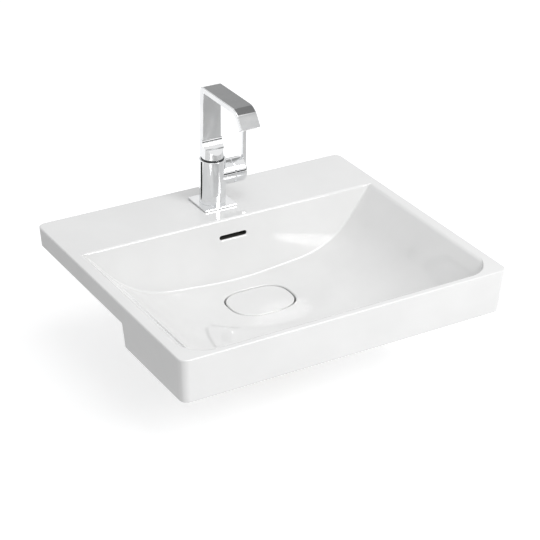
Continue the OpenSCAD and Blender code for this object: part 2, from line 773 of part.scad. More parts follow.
module fixed_disc() color("ivory") on_lever(fixed_x) difference() {
    cylinder(r = disc_r, h = disc_t);
    ports(inlet_y - step, disc_t);
}

// Ceramic disc that the lever slides and turns, with a pocket for the lever's ball
module moving_disc() color("ivory") on_lever(moving_x) difference() {
    cylinder(r = moving_r, h = moving_t);
    translate([0, 0, moving_t - pocket_l]) cylinder(r = pocket_r, h = pocket_l + over, $fn = fine_fn);
}

module cartridge_sleeve() color("whitesmoke") on_lever(fixed_x)
    ring(sleeve_r, sleeve_r - sleeve_t, sleeve_end - fixed_x);

module cartridge_nut() color("goldenrod") on_lever(nut_x) difference() {
    ring(cartridge_r - run_fit, sleeve_r - sleeve_t, nut_l);
    for (a = [0, 90]) rotate(a) translate([0, 0, nut_l])
        cube([2 * cartridge_r + over, wrench_w, nut_l / 2], center = true);
}
wrench_w = 4;

// Turning carrier with a slot in which the stem tilts about its pin
module stem_carrier() color("whitesmoke") on_lever(carrier_x) difference() {
    cylinder(r = carrier_r, h = carrier_l);
    translate([-slot_half, -stem_w / 2 - free_gap, -over])
        cube([2 * slot_half, stem_w + 2 * free_gap, carrier_l + 2 * over]);
    translate([0, 0, pivot_x - carrier_x]) rotate([90, 0, 0])
        cylinder(r = pin_r, h = 2 * carrier_r + over, center = true, $fn = fine_fn);
}

module stem_pin() color("gray") on_lever(pivot_x) rotate([90, 0, 0])
    cylinder(r = pin_r, h = 2 * (carrier_r - step), center = true, $fn = fine_fn);

// Square stem with the ball that drives the disc
module lever_stem() color("goldenrod") difference() {
    union() {
        on_lever(stem_x) translate([-stem_w / 2, -stem_w / 2, 0]) cube([stem_w, stem_w, stem_end - stem_x]);
        on_lever(ball_x) cylinder(r = neck_r, h = stem_x - ball_x + over, $fn = fine_fn);
        on_lever(ball_x) sphere(ball_r, $fn = fine_fn);
    }
    on_lever(pivot_x) rotate([90, 0, 0])
        cylinder(r = pin_r + run_fit, h = stem_w + over, center = true, $fn = fine_fn);
}

// Hub with a hollow end that runs over the housing's dome
module lever_hub() color("silver") difference() {
    on_lever(seam_x - over) cylinder(r = hub_r, h = hub_end - seam_x + over);
    on_lever(pivot_x) sphere(hub_hollow_r);
    on_lever(pivot_x) translate([-stem_w / 2 - stem_fit, -stem_w / 2 - stem_fit, 0])
        cube([stem_w + 2 * stem_fit, stem_w + 2 * stem_fit, stem_end + stem_fit - pivot_x]);
    on_lever(hub_end - tenon_l - stem_fit) cylinder(r = tenon_r + stem_fit, h = tenon_l + over);
    on_lever(set_x) rotate([0, 90, 0]) translate([0, 0, stem_w / 2])
        cylinder(r = set_r + stem_fit, h = hub_r, $fn = fine_fn);
}

// Grub screw under the hub that clamps the stem
module lever_set_screw() color("gray") on_lever(set_x) rotate([0, 90, 0]) difference() {
    translate([0, 0, stem_w / 2 + stem_fit]) cylinder(r = set_r,
        h = hub_r - stem_w / 2 - stem_fit - set_sink, $fn = fine_fn);
    translate([0, 0, hub_r - set_sink - set_r]) cylinder(r = set_r / 2, h = set_r + over, $fn = 6);
}

// Upright bar on the end of the hub
module lever_blade() color("silver") {
    on_lever(hub_end) translate([-blade_up, -blade_w / 2, 0])
        cube([blade_up + hub_r - step / 2, blade_w, blade_t]);
    on_lever(hub_end - tenon_l) cylinder(r = tenon_r, h = tenon_l + over);
}

module fixing_stud() color("silver") at_tap() translate([stud_x, 0, stud_up - stud_l])
    cylinder(r = stud_r, h = stud_l, $fn = fine_fn);

// Horseshoe about the tap's axis: open at the left for the supply hoses, with a hole for the stud
module horseshoe(h) {
    difference() {
        cylinder(r = pad_r, h = h);
        translate([inlet_x - pad_r, -mouth_w, -over])
            cube([pad_r + inlet_r + lap, 2 * mouth_w, h + 2 * over]);
        translate([stud_x, 0, -over]) cylinder(r = stud_r + run_fit, h = h + 2 * over, $fn = fine_fn);
    }
}

module fixing_gasket() color("dimgray") at_tap() translate([0, 0, -ledge_t - pad_t]) horseshoe(pad_t);

module clamp_plate() color("silver") at_tap()
    translate([0, 0, -ledge_t - pad_t - clamp_t]) horseshoe(clamp_t);

module fixing_nut() color("goldenrod") at_tap()
    translate([stud_x, 0, -ledge_t - pad_t - clamp_t - fix_nut_h]) difference() {
        cylinder(r = fix_nut_r, h = fix_nut_h, $fn = 6);
        translate([0, 0, -over]) cylinder(r = stud_r + run_fit, h = fix_nut_h + 2 * over, $fn = fine_fn);
    }

basin_body();
waste_cover();
cover_holder();
plunger();
plunger_seal();
plunger_spring();
plunger_guide();
waste_body();
flange_seal();
lower_seal();
lower_washer();
back_nut();
base_gasket();
base_plate();
tap_body();
swivel_ring();
spout();
spout_seals();
spout_lock_screw();
aerator();
cartridge_base();
cartridge_seals();
fixed_disc();
moving_disc();
cartridge_sleeve();
cartridge_nut();
stem_carrier();
stem_pin();
lever_stem();
lever_hub();
lever_set_screw();
lever_blade();
fixing_stud();
fixing_gasket();
clamp_plate();
fixing_nut();
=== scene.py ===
# %% [markdown]
# # A countertop basin with its mixer tap
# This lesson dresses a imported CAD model. The real object is a basin of glazed ceramic, cast in one
# piece and fired at great heat, with a chromed mixer tap on its ledge and an oval ceramic cover
# over its waste. The CAD model gives every piece its place, so all that is left is to give each
# one the soft edges and the finish that it has on the real thing. Measures are in millimetres
# here, and one small helper turns them into Blender's metres.

import json
import math
import bmesh
import bpy
from mathutils import Matrix, Vector


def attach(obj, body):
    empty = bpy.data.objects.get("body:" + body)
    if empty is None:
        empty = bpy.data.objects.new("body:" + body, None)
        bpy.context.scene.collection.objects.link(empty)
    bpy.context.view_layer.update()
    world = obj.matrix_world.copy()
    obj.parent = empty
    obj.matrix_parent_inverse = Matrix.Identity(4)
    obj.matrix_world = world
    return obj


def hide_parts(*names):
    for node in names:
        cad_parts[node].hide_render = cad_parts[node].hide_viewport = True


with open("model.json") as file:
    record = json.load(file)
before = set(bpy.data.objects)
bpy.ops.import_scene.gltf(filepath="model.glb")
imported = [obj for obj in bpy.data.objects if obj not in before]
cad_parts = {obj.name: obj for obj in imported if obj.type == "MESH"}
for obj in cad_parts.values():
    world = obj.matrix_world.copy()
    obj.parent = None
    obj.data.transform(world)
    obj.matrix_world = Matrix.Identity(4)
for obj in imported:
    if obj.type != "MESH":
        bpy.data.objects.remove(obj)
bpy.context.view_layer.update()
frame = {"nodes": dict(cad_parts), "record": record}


def mm(*values):
    """Millimetres as metres: one number, or a tuple of them."""
    return values[0] * 0.001 if len(values) == 1 else tuple(v * 0.001 for v in values)


# %% [markdown]
# ## Working by hand, in code
# In Blender's window you click on a piece, go into edit mode and pick faces or edges. A script
# does the same in words: it deselects everything, makes one piece active, and selects what lies at
# a known place. These helpers are all the hand movements that the lesson needs.

# %% Pick and select
def only(piece):
    """Selects this one piece and makes it active."""
    bpy.ops.object.select_all(action="DESELECT")
    piece.select_set(True)
    bpy.context.view_layer.objects.active = piece


def named(name):
    """Gives the piece that was just added its name."""
    piece = bpy.context.active_object
    piece.name = piece.data.name = name
    return piece


def pick(piece, kind, test=lambda element: True):
    """Opens edit mode with those points, edges or faces selected that test accepts, or with all."""
    only(piece)
    bpy.ops.object.mode_set(mode="EDIT")
    bpy.ops.mesh.select_mode(type=kind)
    bpy.ops.mesh.select_all(action="DESELECT")
    shape = bmesh.from_edit_mesh(piece.data)
    elements = {"VERT": shape.verts, "EDGE": shape.edges, "FACE": shape.faces}[kind]
    for element in [e for e in elements if test(e)]:
        element.select_set(True)
    shape.select_flush_mode()
    bmesh.update_edit_mesh(piece.data)


def leave():
    """Leaves edit mode."""
    bpy.ops.object.mode_set(mode="OBJECT")


def all_points(test):
    """A test for an edge or face: test(x, y, z), in millimetres, holds at each of its points."""
    return lambda e: all(test(*(1000 * v.co)) for v in e.verts)


def near(a, b, slack=0.05):
    """True where two measures agree, to a twentieth of a millimetre."""
    return abs(a - b) < slack


def level(height):
    """A test for an edge or face that lies level at a height."""
    return all_points(lambda x, y, z: near(z, height))


def round_edges(piece, test, radius, segments=4):
    """Bevels the edges of a piece that a test accepts."""
    pick(piece, "EDGE", test)
    bpy.ops.mesh.bevel(offset=mm(radius), segments=segments, profile=0.5, affect="EDGES")
    leave()

# %% Add, turn and combine
def block(name, low, high):
    """A box between two corners."""
    bpy.ops.object.select_all(action="DESELECT")
    middle = [(a + b) / 2 for a, b in zip(low, high)]
    size = [b - a for a, b in zip(low, high)]
    bpy.ops.mesh.primitive_cube_add(size=1, location=mm(*middle), scale=mm(*size))
    piece = named(name)
    bpy.ops.object.transform_apply(location=True, rotation=True, scale=True)
    return piece


def rod(name, radius, start, end, sides=96):
    """A cylinder between two points."""
    bpy.ops.object.select_all(action="DESELECT")
    a, b = Vector(start), Vector(end)
    bpy.ops.mesh.primitive_cylinder_add(vertices=sides, radius=mm(radius), depth=mm((b - a).length),
        location=mm(*((a + b) / 2)), rotation=(b - a).to_track_quat("Z", "Y").to_euler())
    piece = named(name)
    bpy.ops.object.transform_apply(location=True, rotation=True, scale=True)
    return piece


def mesh_piece(name, points, edges, faces):
    """A piece from points in millimetres."""
    mesh = bpy.data.meshes.new(name)
    mesh.from_pydata([mm(*p) for p in points], edges, faces)
    piece = bpy.data.objects.new(name, mesh)
    bpy.context.scene.collection.objects.link(piece)
    return piece


def outwards(piece):
    """Merges doubled points and turns every face outwards."""
    pick(piece, "VERT")
    bpy.ops.mesh.remove_doubles(threshold=1e-6)
    bpy.ops.mesh.select_all(action="SELECT")
    bpy.ops.mesh.normals_make_consistent(inside=False)
    leave()


def turned(name, outline, origin, axis, steps=96):
    """Turned on a lathe: (along, radius) points spun about the X or Z axis through origin."""
    along = Vector((1, 0, 0)) if axis == "X" else Vector((0, 0, 1))
    out = Vector((0, 0, 1)) if axis == "X" else Vector((1, 0, 0))
    points = [Vector(origin) + a * along + r * out for a, r in outline]
    loop = [(i, i + 1) for i in range(len(points) - 1)]
    if outline[0][1] > 0 and outline[-1][1] > 0:
        loop.append((len(points) - 1, 0))
    piece = mesh_piece(name, points, loop, [])
    pick(piece, "EDGE")
    bpy.ops.mesh.spin(steps=steps, angle=2 * math.pi, center=mm(*origin), axis=along)
    leave()
    outwards(piece)
    return piece


def prism(name, outline, x0, x1):
    """A sheet cut along an outline of (y, z) points and extruded from x0 to x1."""
    piece = mesh_piece(name, [(x0, y, z) for y, z in outline], [], [tuple(range(len(outline)))])
    pick(piece, "FACE")
    bpy.ops.mesh.extrude_region_move(TRANSFORM_OT_translate={"value": (mm(x1 - x0), 0, 0)})
    leave()
    outwards(piece)
    return piece


def loft(name, rings):
    """A closed solid through rings that all have the same number of points."""
    n = len(rings[0])
    faces = [(i * n + j, i * n + (j + 1) % n, (i + 1) * n + (j + 1) % n, (i + 1) * n + j)
             for i in range(len(rings) - 1) for j in range(n)]
    faces += [tuple(range(n)), tuple((len(rings) - 1) * n + j for j in range(n))]
    piece = mesh_piece(name, [p for ring in rings for p in ring], [], faces)
    outwards(piece)
    return piece


def split_across(piece, middle):
    """Cuts the faces of a piece along three planes through a point, without parting it."""
    pick(piece, "FACE")
    for normal in ((1, 0, 0), (0, 1, 0), (0, 0, 1)):
        bpy.ops.mesh.select_all(action="SELECT")
        bpy.ops.mesh.bisect(plane_co=middle, plane_no=normal)
    leave()


def combine(piece, tool, how="DIFFERENCE"):
    """Cuts a tool out of a piece, joins it on, or keeps what they share, and removes the tool.

    A face can't have a hole in it, so both are first split across the middle of the tool.
    """
    before = len(piece.data.polygons)
    corners = [v.co for v in tool.data.vertices]
    middle = [(min(c[i] for c in corners) + max(c[i] for c in corners)) / 2 for i in range(3)]
    split_across(piece, middle)
    split_across(tool, middle)
    only(piece)
    mod = piece.modifiers.new("combine", "BOOLEAN")
    mod.operation, mod.object, mod.solver = how, tool, "MANIFOLD"
    bpy.ops.object.modifier_apply(modifier=mod.name)
    after = len(piece.data.polygons)
    print(f"  {piece.name}: {how.lower()} {tool.name}, faces {before} to {after}")
    bpy.data.objects.remove(tool, do_unlink=True)


def smoothed(piece, angle=30):
    """Smooth shading up to an angle, with the large faces kept flat."""
    only(piece)
    bpy.ops.object.shade_smooth_by_angle(angle=math.radians(angle))
    mod = piece.modifiers.new("flat faces stay flat", "WEIGHTED_NORMAL")
    mod.keep_sharp = True
    bpy.ops.object.modifier_apply(modifier=mod.name)


def stands_for(piece, body, slot, *nodes):
    """Lets a finished piece ride on its body in place of its CAD nodes."""
    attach(piece, body)
    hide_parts(*nodes)
    tris = sum(len(p.vertices) - 2 for p in piece.data.polygons)
    print(f"{piece.name}: {tris} triangles, rides on {body}")

# %% [markdown]
# ## The ceramic block
# The basin is cast in a plaster mould, so its outer faces lean inwards towards the bottom and all
# its edges are soft: glaze runs thin over a sharp edge. It starts as a cube. The bottom face is
# scaled in for the draft, the bottom is cut across at the step, and the front part is extruded
# down to make the apron. Then the corners and edges are bevelled, large ones first.

# %% Block of the basin
RIM, LEDGE_UNDER, APRON, FLOOR, DRAIN = 32.5, 18.5, -40.0, -66.0, -72.0    # heights
HALF, DEPTH = 275.0, 470
DRAFT = math.tan(math.radians(3.5))
BACK_Y = RIM * DRAFT
FRONT_Y, BOWL_BACK, STEP_Y, DRAIN_Y, TAP_Y = (BACK_Y - d for d in (DEPTH, 124, 286, 214, 62))
MID_Y = (BACK_Y + FRONT_Y) / 2
APRON_BACK, APRON_LEAN = -350, 5.6    # the apron's inner side leans forward towards the bottom


def inset_to(piece, z, inset):
    """Scales the points at height z about the middle of the plan."""
    pick(piece, "VERT", lambda v: near(1000 * v.co.z, z))
    scale = (1 - inset / HALF, 1 - inset / (DEPTH / 2), 1)
    bpy.ops.transform.resize(value=scale, center_override=mm(0, MID_Y, 0))
    leave()


basin = block("basin_glazed", (-HALF, FRONT_Y, 0), (HALF, BACK_Y, RIM))
inset_to(basin, 0, BACK_Y)
pick(basin, "FACE")
bpy.ops.mesh.bisect(plane_co=mm(0, STEP_Y, 0), plane_no=(0, 1, 0))
leave()
pick(basin, "FACE", lambda f: f.normal.z < -0.9 and 1000 * f.calc_center_median().y < STEP_Y)
bpy.ops.mesh.extrude_region_move(TRANSFORM_OT_translate={"value": mm(0, 0, APRON)})
leave()
inset_to(basin, APRON, -APRON * DRAFT * HALF / (HALF - BACK_Y))
pick(basin, "VERT", lambda v: near(1000 * v.co.z, APRON) and 1000 * v.co.y > APRON_BACK)
bpy.ops.transform.translate(value=mm(0, -APRON_LEAN, 0))
leave()
print("points of the block:",
      [[round(c * 1000, 1) for c in v.co] for v in basin.data.vertices][:16])

# %% Soft corners and edges
CORNER_R, RIM_R, APRON_R, LOW_R = 12.5, 2.2, 4.0, 1.6
NEAR_SIDE, NEAR_END = HALF - 10, 9
upright = lambda e: abs((e.verts[0].co - e.verts[1].co).normalized().z) > 0.9
at_corner = all_points(lambda x, y, z: abs(x) > NEAR_SIDE
                       and (y < FRONT_Y + NEAR_END or y > BACK_Y - NEAR_END))
low_back = all_points(lambda x, y, z: near(z, 0) and (abs(x) > 250 or y > -20))
step_edge = all_points(lambda x, y, z: z < 1 and abs(x) > NEAR_SIDE
                       and STEP_Y - 8 < y < STEP_Y + 1)
round_edges(basin, lambda e: upright(e) and at_corner(e), CORNER_R, 10)
round_edges(basin, level(RIM), RIM_R, 5)
round_edges(basin, level(APRON), APRON_R, 5)
round_edges(basin, lambda e: low_back(e) or (step_edge(e) and upright(e)), LOW_R, 3)
print("block rounded:", len(basin.data.polygons), "faces")

# %% Smaller faces on top
for place in range(-225, 226, 50):    # a cut every 50 mm, both ways
    pick(basin, "FACE")
    bpy.ops.mesh.bisect(plane_co=mm(place, 0, 0), plane_no=(1, 0, 0))
    bpy.ops.mesh.select_all(action="SELECT")
    bpy.ops.mesh.bisect(plane_co=mm(0, MID_Y + place, 0), plane_no=(0, 1, 0))
    leave()
print("block divided:", len(basin.data.polygons), "faces")

# %% Hollow under the ledge and rim
WALL, CERAMIC, INNER_R = 13, 11.0, 6.25
hollow = block("hollow", (WALL - HALF, FRONT_Y + WALL, APRON - 30),
               (HALF - WALL, BACK_Y - WALL, LEDGE_UNDER))
round_edges(hollow, upright, INNER_R, 5)
round_edges(hollow, level(LEDGE_UNDER), 4, 4)
combine(basin, hollow)

# %% [markdown]
# ## The bowl
# From the side rims the bowl falls in a long curve to a nearly flat floor. The back wall is steep
# and the front wall runs into the floor in a wide bend, and round the waste the floor sinks in a
# shallow dish. No primitive comes near such a shape, so it is laid out as a draughtsman would do
# it: a row of columns from side to side, and in each a profile from the back ledge down the wall,
# along the floor and up the front. The grid of all their points is the skin of the bowl. It is
# closed above the rim and cut out of the block, and the same grid, grown by the thickness of the
# ceramic, is the outside.

# %% Cross-section of the bowl
SLOPE, FLAT, BEND_R, LIP_R = math.radians(48), math.radians(5), 165.0, 10.0
SIDE_X = HALF - 14
TOP_X, TOP_Z = SIDE_X - LIP_R * math.sin(SLOPE), RIM - LIP_R * (1 - math.cos(SLOPE))
FALL = TOP_Z - FLOOR - BEND_R * (math.cos(FLAT) - math.cos(SLOPE))
REACH = TOP_X - BEND_R * (math.sin(SLOPE) - math.sin(FLAT))
FLOOR_R = ((REACH * math.sin(SLOPE) - FALL * math.cos(SLOPE))
           / (math.sin(FLAT) * math.sin(SLOPE) - (1 - math.cos(FLAT)) * math.cos(SLOPE)))
BEND_X = TOP_X - (REACH - FLOOR_R * math.sin(FLAT)) - BEND_R * math.sin(SLOPE)
BEND_Z = FLOOR + FLOOR_R * (1 - math.cos(FLAT)) + BEND_R * math.cos(FLAT)
LIP_STEPS, WALL_STEPS, BEND_STEPS, FLOOR_STEPS = 9, 12, 30, 24


def half_section(grow):
    """(x, z) from the rim to the middle of the floor, grown by a thickness into the ceramic."""
    points = []
    if grow:
        rise = RIM - (TOP_Z - grow * math.cos(SLOPE))
        points.append((TOP_X + grow * math.sin(SLOPE) + rise / math.tan(SLOPE), RIM))
    else:
        for i in range(LIP_STEPS + 1):
            a = math.pi / 2 + SLOPE * i / LIP_STEPS
            points.append((SIDE_X + LIP_R * math.cos(a), RIM - LIP_R + LIP_R * math.sin(a)))
    top = points[-1]
    bend_r, floor_r = BEND_R + grow, FLOOR_R + grow
    a = SLOPE - math.pi / 2
    foot = (BEND_X + bend_r * math.cos(a), BEND_Z + bend_r * math.sin(a))
    points += [(top[0] + (foot[0] - top[0]) * i / WALL_STEPS,
                top[1] + (foot[1] - top[1]) * i / WALL_STEPS) for i in range(1, WALL_STEPS)]
    for i in range(BEND_STEPS + 1):
        a = SLOPE - math.pi / 2 + (FLAT - SLOPE) * i / BEND_STEPS
        points.append((BEND_X + bend_r * math.cos(a), BEND_Z + bend_r * math.sin(a)))
    for i in range(1, FLOOR_STEPS + 1):
        a = FLAT * (1 - i / FLOOR_STEPS) - math.pi / 2
        points.append((floor_r * math.cos(a), FLOOR + FLOOR_R + floor_r * math.sin(a)))
    return points


section = half_section(0)
print("cross-section:", len(section), "points, from", [round(c, 1) for c in section[0]], "to",
      [round(c, 1) for c in section[-1]])

# %% Profile of one column
BACK_LEAN, FRONT_LEAN, CORNER = math.radians(11), math.radians(18), 48.0
FRONT_TOP = FRONT_Y + 12.4
LEDGE_R, FRONT_LIP_R, HEEL_R, SHARP = 4.5, 6.5, 4.5, 0.02
DISH_R, DISH_END, DISH_FADE = 600.0, 140, 40


def floor_height(x, y, z_low, grow, melt=2.5):
    """Height of the floor: the cross-section and the dish, melted into one where they meet."""
    share = min(max((DISH_END - math.hypot(x, y - DRAIN_Y)) / DISH_FADE, 0), 1)
    if not share:
        return z_low
    reach = DISH_R + grow
    dish = DRAIN + DISH_R - math.sqrt(reach * reach - x * x - (y - DRAIN_Y) ** 2)
    mix = max(melt - abs(z_low - dish), 0) / melt
    low = min(z_low, dish) - mix * mix * melt / 4
    return z_low + share * share * (3 - 2 * share) * (low - z_low)


def column(x, z_low, grow):
    """(y, z) from the back ledge down, along the floor and up to the front rim."""
    deep = RIM - z_low
    out = max(abs(x) - (SIDE_X - CORNER), 0)
    front_top = FRONT_TOP + CORNER - math.sqrt(max(CORNER ** 2 - min(out, CORNER) ** 2, 0))
    r_ledge, r_front = min(LEDGE_R, 0.35 * deep), min(FRONT_LIP_R, 0.4 * deep)
    if grow:
        r_ledge = r_front = SHARP
    back = lambda z: BOWL_BACK - (RIM - z) * math.tan(BACK_LEAN) + grow / math.cos(BACK_LEAN)
    front = lambda z: front_top + (RIM - z) * math.tan(FRONT_LEAN) - grow / math.cos(FRONT_LEAN)
    ground = lambda y: floor_height(x, y, z_low, grow)

    def settle(wall, side, lean, r):
        """Centre of the bend between a wall and the floor, and the slope of the floor there."""
        z, tilt = z_low + r, 0.0
        for _ in range(14):
            y = wall(z) + side * r / math.cos(lean)
            foot = y + r * math.sin(tilt)
            tilt = math.atan(ground(foot + 0.5) - ground(foot - 0.5))
            z = ground(foot) + r * math.cos(tilt)
        return y, z, tilt

    def arc(y, z, r, a0, a1, n):
        """n steps along an arc about (y, z), with both its ends."""
        return [(y + r * math.cos(a0 + (a1 - a0) * i / n), z + r * math.sin(a0 + (a1 - a0) * i / n))
                for i in range(n + 1)]

    def straight(p, q, n):
        """n steps from p to q, without its ends."""
        return [(p[0] + (q[0] - p[0]) * i / n, p[1] + (q[1] - p[1]) * i / n) for i in range(1, n)]

    ledge = arc(back(RIM) + r_ledge * math.tan(math.pi / 4 - BACK_LEAN / 2), RIM - r_ledge, r_ledge,
                math.pi / 2, math.pi - BACK_LEAN, 7)
    rb, rf = min(HEEL_R, 0.35 * deep) + grow, 0.71 * deep + grow
    yb, zb, tb = settle(back, -1, BACK_LEAN, rb)
    yf, zf, tf = settle(front, 1, FRONT_LEAN, rf)
    heel = arc(yb, zb, rb, -BACK_LEAN, tb - math.pi / 2, 8)
    toe = arc(yf, zf, rf, tf - math.pi / 2, FRONT_LEAN - math.pi, 26)
    lip = arc(front(RIM) - r_front * math.tan(math.pi / 4 - FRONT_LEAN / 2), RIM - r_front, r_front,
              FRONT_LEAN, math.pi / 2, 6)
    flat = [(y, ground(y)) for y, _ in straight(heel[-1], toe[0], 58)]
    return (ledge + straight(ledge[-1], heel[0], 12) + heel + flat + toe
            + straight(toe[-1], lip[0], 8) + lip)


middle = column(0, FLOOR, 0)
print("middle column:", len(middle), "points, lowest", round(min(z for _, z in middle), 2))

# %% Skin of the bowl as a closed solid
def bowl_form(name, grow):
    """The space of the bowl, closed above the rim, or with grow the outside of its ceramic."""
    half = half_section(grow)
    stations = half + [(-x, z) for x, z in reversed(half[:-1])]
    columns = [[(x, y, z) for y, z in column(x, min(z_low, RIM - 0.01), grow)]
               for x, z_low in stations]
    rows, n = len(columns[0]), len(columns)
    lift = lambda p: (p[0], p[1], RIM + 0.05)
    columns = [[lift(p) if i in (0, n - 1) or j in (0, rows - 1) else p for j, p in enumerate(c)]
               for i, c in enumerate(columns)]
    points = [p for c in columns for p in c]
    faces = [(i * rows + j, (i + 1) * rows + j, (i + 1) * rows + j + 1, i * rows + j + 1)
             for i in range(n - 1) for j in range(rows - 1)]
    piece = mesh_piece(name, points, [], faces)
    edge = lambda e: e.is_boundary
    pick(piece, "EDGE", edge)
    bpy.ops.mesh.extrude_region_move(TRANSFORM_OT_translate={"value": mm(0, 0, 12)})
    leave()
    pick(piece, "EDGE", edge)
    bpy.ops.mesh.edge_face_add()
    leave()
    outwards(piece)
    return piece


bowl_outside = bowl_form("bowl_outside", CERAMIC)
keep = block("keep", (CERAMIC - HALF, FRONT_Y + CERAMIC, -200),
             (HALF - CERAMIC, BACK_Y - WALL, LEDGE_UNDER + 2))
round_edges(keep, upright, INNER_R, 5)
combine(bowl_outside, keep, "INTERSECT")
combine(basin, bowl_outside, "UNION")

# %% [markdown]
# ## Waste boss and overflow
# Under the floor the ceramic is thicker: an oval boss holds the recess for the cover, and below it
# a round boss takes the waste. A flat duct runs down behind the back wall, so that water which
# reaches the slot under the ledge flows to the waste. The oval is a superellipse, between an
# ellipse and a rectangle, and a loft through such rings gives the boss, the recess and later the
# cover itself.

# %% Bosses under the floor
POWER = 2 / 2.7    # 1 would give an ellipse, and 0 a rectangle


def oval(a, b, z, n=128):
    """Ring of a superellipse round the waste; z is a height or a function of x and y."""
    ring = []
    for i in range(n):
        u = 2 * math.pi * i / n
        x = a * math.copysign(abs(math.cos(u)) ** POWER, math.cos(u))
        y = DRAIN_Y + b * math.copysign(abs(math.sin(u)) ** POWER, math.sin(u))
        ring.append((x, y, z(x, y) if callable(z) else z))
    return ring


COVER_A, COVER_B, GAP = 53.0, 39.0, 2.4
RECESS, BOSS, BOSS_R, EDGE_R = DRAIN - 14, -128.0, 36, 4
big_a, big_b = COVER_A + GAP + CERAMIC, COVER_B + GAP + CERAMIC
quarter = [math.radians(15 * i) for i in range(7)]
oval_boss = loft("oval_boss", [
    oval(big_a - EDGE_R + EDGE_R * math.sin(a), big_b - EDGE_R + EDGE_R * math.sin(a),
         RECESS - CERAMIC + EDGE_R - EDGE_R * math.cos(a)) for a in quarter]
    + [oval(big_a, big_b, DRAIN - 4)])
combine(basin, oval_boss, "UNION")
round_boss = rod("round_boss", BOSS_R, (0, DRAIN_Y, BOSS), (0, DRAIN_Y, RECESS - 2))
round_edges(round_boss, level(BOSS), 2, 3)
combine(basin, round_boss, "UNION")

# %% Overflow duct
SLOT_Z, SLOT_LENGTH, SLOT_HEIGHT = 3.5, 48, 6.6
DUCT_HALF, DUCT_SKIN, DUCT_GAP, DUCT_WALL = 28, 9, 9, 8
CHAMBER_LOW, CHAMBER_TOP, CHAMBER_R = BOSS + 11, BOSS + 23, 31


def wall_at(depth):
    """The y at each height z of the bowl's back wall, or of a face at a depth behind it."""
    return lambda z: BOWL_BACK - (RIM - z) * math.tan(BACK_LEAN) + depth


def duct(t):
    """Outline of the duct in (y, z); with t it is the ceramic round the hollow."""
    wall, skin, gap = wall_at(0), DUCT_SKIN, DUCT_GAP
    top, under, low = SLOT_Z + gap + t, RECESS - 8, CHAMBER_LOW - t
    outline = [(wall(top) + skin - t, top), (wall(top) + skin + gap + t, top),
               (wall(under) + skin + gap + t, under + gap / 2), (wall(low) - gap + t, low),
               (DRAIN_Y, low)]
    if t:
        return outline + [(DRAIN_Y, DRAIN - 6), (wall(FLOOR) + 2, FLOOR - 6)]
    return outline + [(DRAIN_Y, CHAMBER_TOP), (DRAIN_Y + CHAMBER_R, CHAMBER_TOP),
                      (wall(under) + skin, under + gap)]


duct_outside = prism("duct_outside", duct(DUCT_WALL), -DUCT_HALF - DUCT_WALL, DUCT_HALF + DUCT_WALL)
round_edges(duct_outside, lambda e: e.calc_face_angle(0) > 0.5, 3, 3)
combine(basin, duct_outside, "UNION")

# %% Cut the bowl
bowl = bowl_form("bowl", 0.0)
combine(basin, bowl)

# %% Cut the overflow slot, recess and holes
def slot_ring(depth, grow, n=20):
    """Ring of the slot's outline, grown all round, at a depth behind the bowl's back wall."""
    r = SLOT_HEIGHT / 2 + grow
    ring = []
    for side in (1, -1):
        for i in range(n + 1):
            a = side * math.pi / 2 - math.pi * i / n
            x = side * (SLOT_LENGTH - SLOT_HEIGHT) / 2 + r * math.cos(a)
            z = SLOT_Z + r * math.sin(a)
            ring.append((x, wall_at(depth)(z), z))
    return ring


MOUTH = 2.2    # radius at the mouths of the slot and the recess: (depth, grow) round a quarter
mouth = [(MOUTH * i / 6, MOUTH - math.sqrt(MOUTH ** 2 - (MOUTH - MOUTH * i / 6) ** 2))
         for i in range(7)]
slot = loft("slot", [slot_ring(-3, MOUTH)] + [slot_ring(d, g) for d, g in mouth]
    + [slot_ring(12, 0)])
combine(basin, slot)
combine(basin, prism("duct_hollow", duct(0), -DUCT_HALF, DUCT_HALF))

surface = lambda depth: lambda x, y: floor_height(x, y, floor_at(x), 0) - depth


def floor_at(x):
    """Height of the cross-section at x, read off its own points."""
    for (x1, z1), (x0, z0) in zip(section, section[1:]):
        if x0 <= abs(x) <= x1:
            return z0 + (z1 - z0) * (abs(x) - x0) / (x1 - x0)
    return FLOOR


recess = loft("recess", [oval(COVER_A + GAP, COVER_B + GAP, RECESS)]
    + [oval(COVER_A + GAP + g, COVER_B + GAP + g, surface(d)) for d, g in reversed(mouth)]
    + [oval(COVER_A + GAP + MOUTH, COVER_B + GAP + MOUTH, surface(-4))])
combine(basin, recess)
for name, radius, y, low, high in (("waste_hole", 23, DRAIN_Y, BOSS - 5, RECESS + 3),
                                   ("flange_seat", 33, DRAIN_Y, RECESS - 3, RECESS + 3),
                                   ("chamber", CHAMBER_R, DRAIN_Y, CHAMBER_LOW, CHAMBER_TOP),
                                   ("tap_hole", 17.5, TAP_Y, 10, 40)):
    combine(basin, rod(name, radius, (0, y, low), (0, y, high)))
smoothed(basin, 32)
stands_for(basin, "basin", "glaze", "basin_body")

# %% [markdown]
# ## The cover of the waste
# The cover is a thin plate of the same ceramic. It lies flush in its recess, so its top follows
# the dish of the floor, and a fine dark gap runs round it. Rings from the underside up the edge,
# over a small rounding and in to the middle make it in one loft.

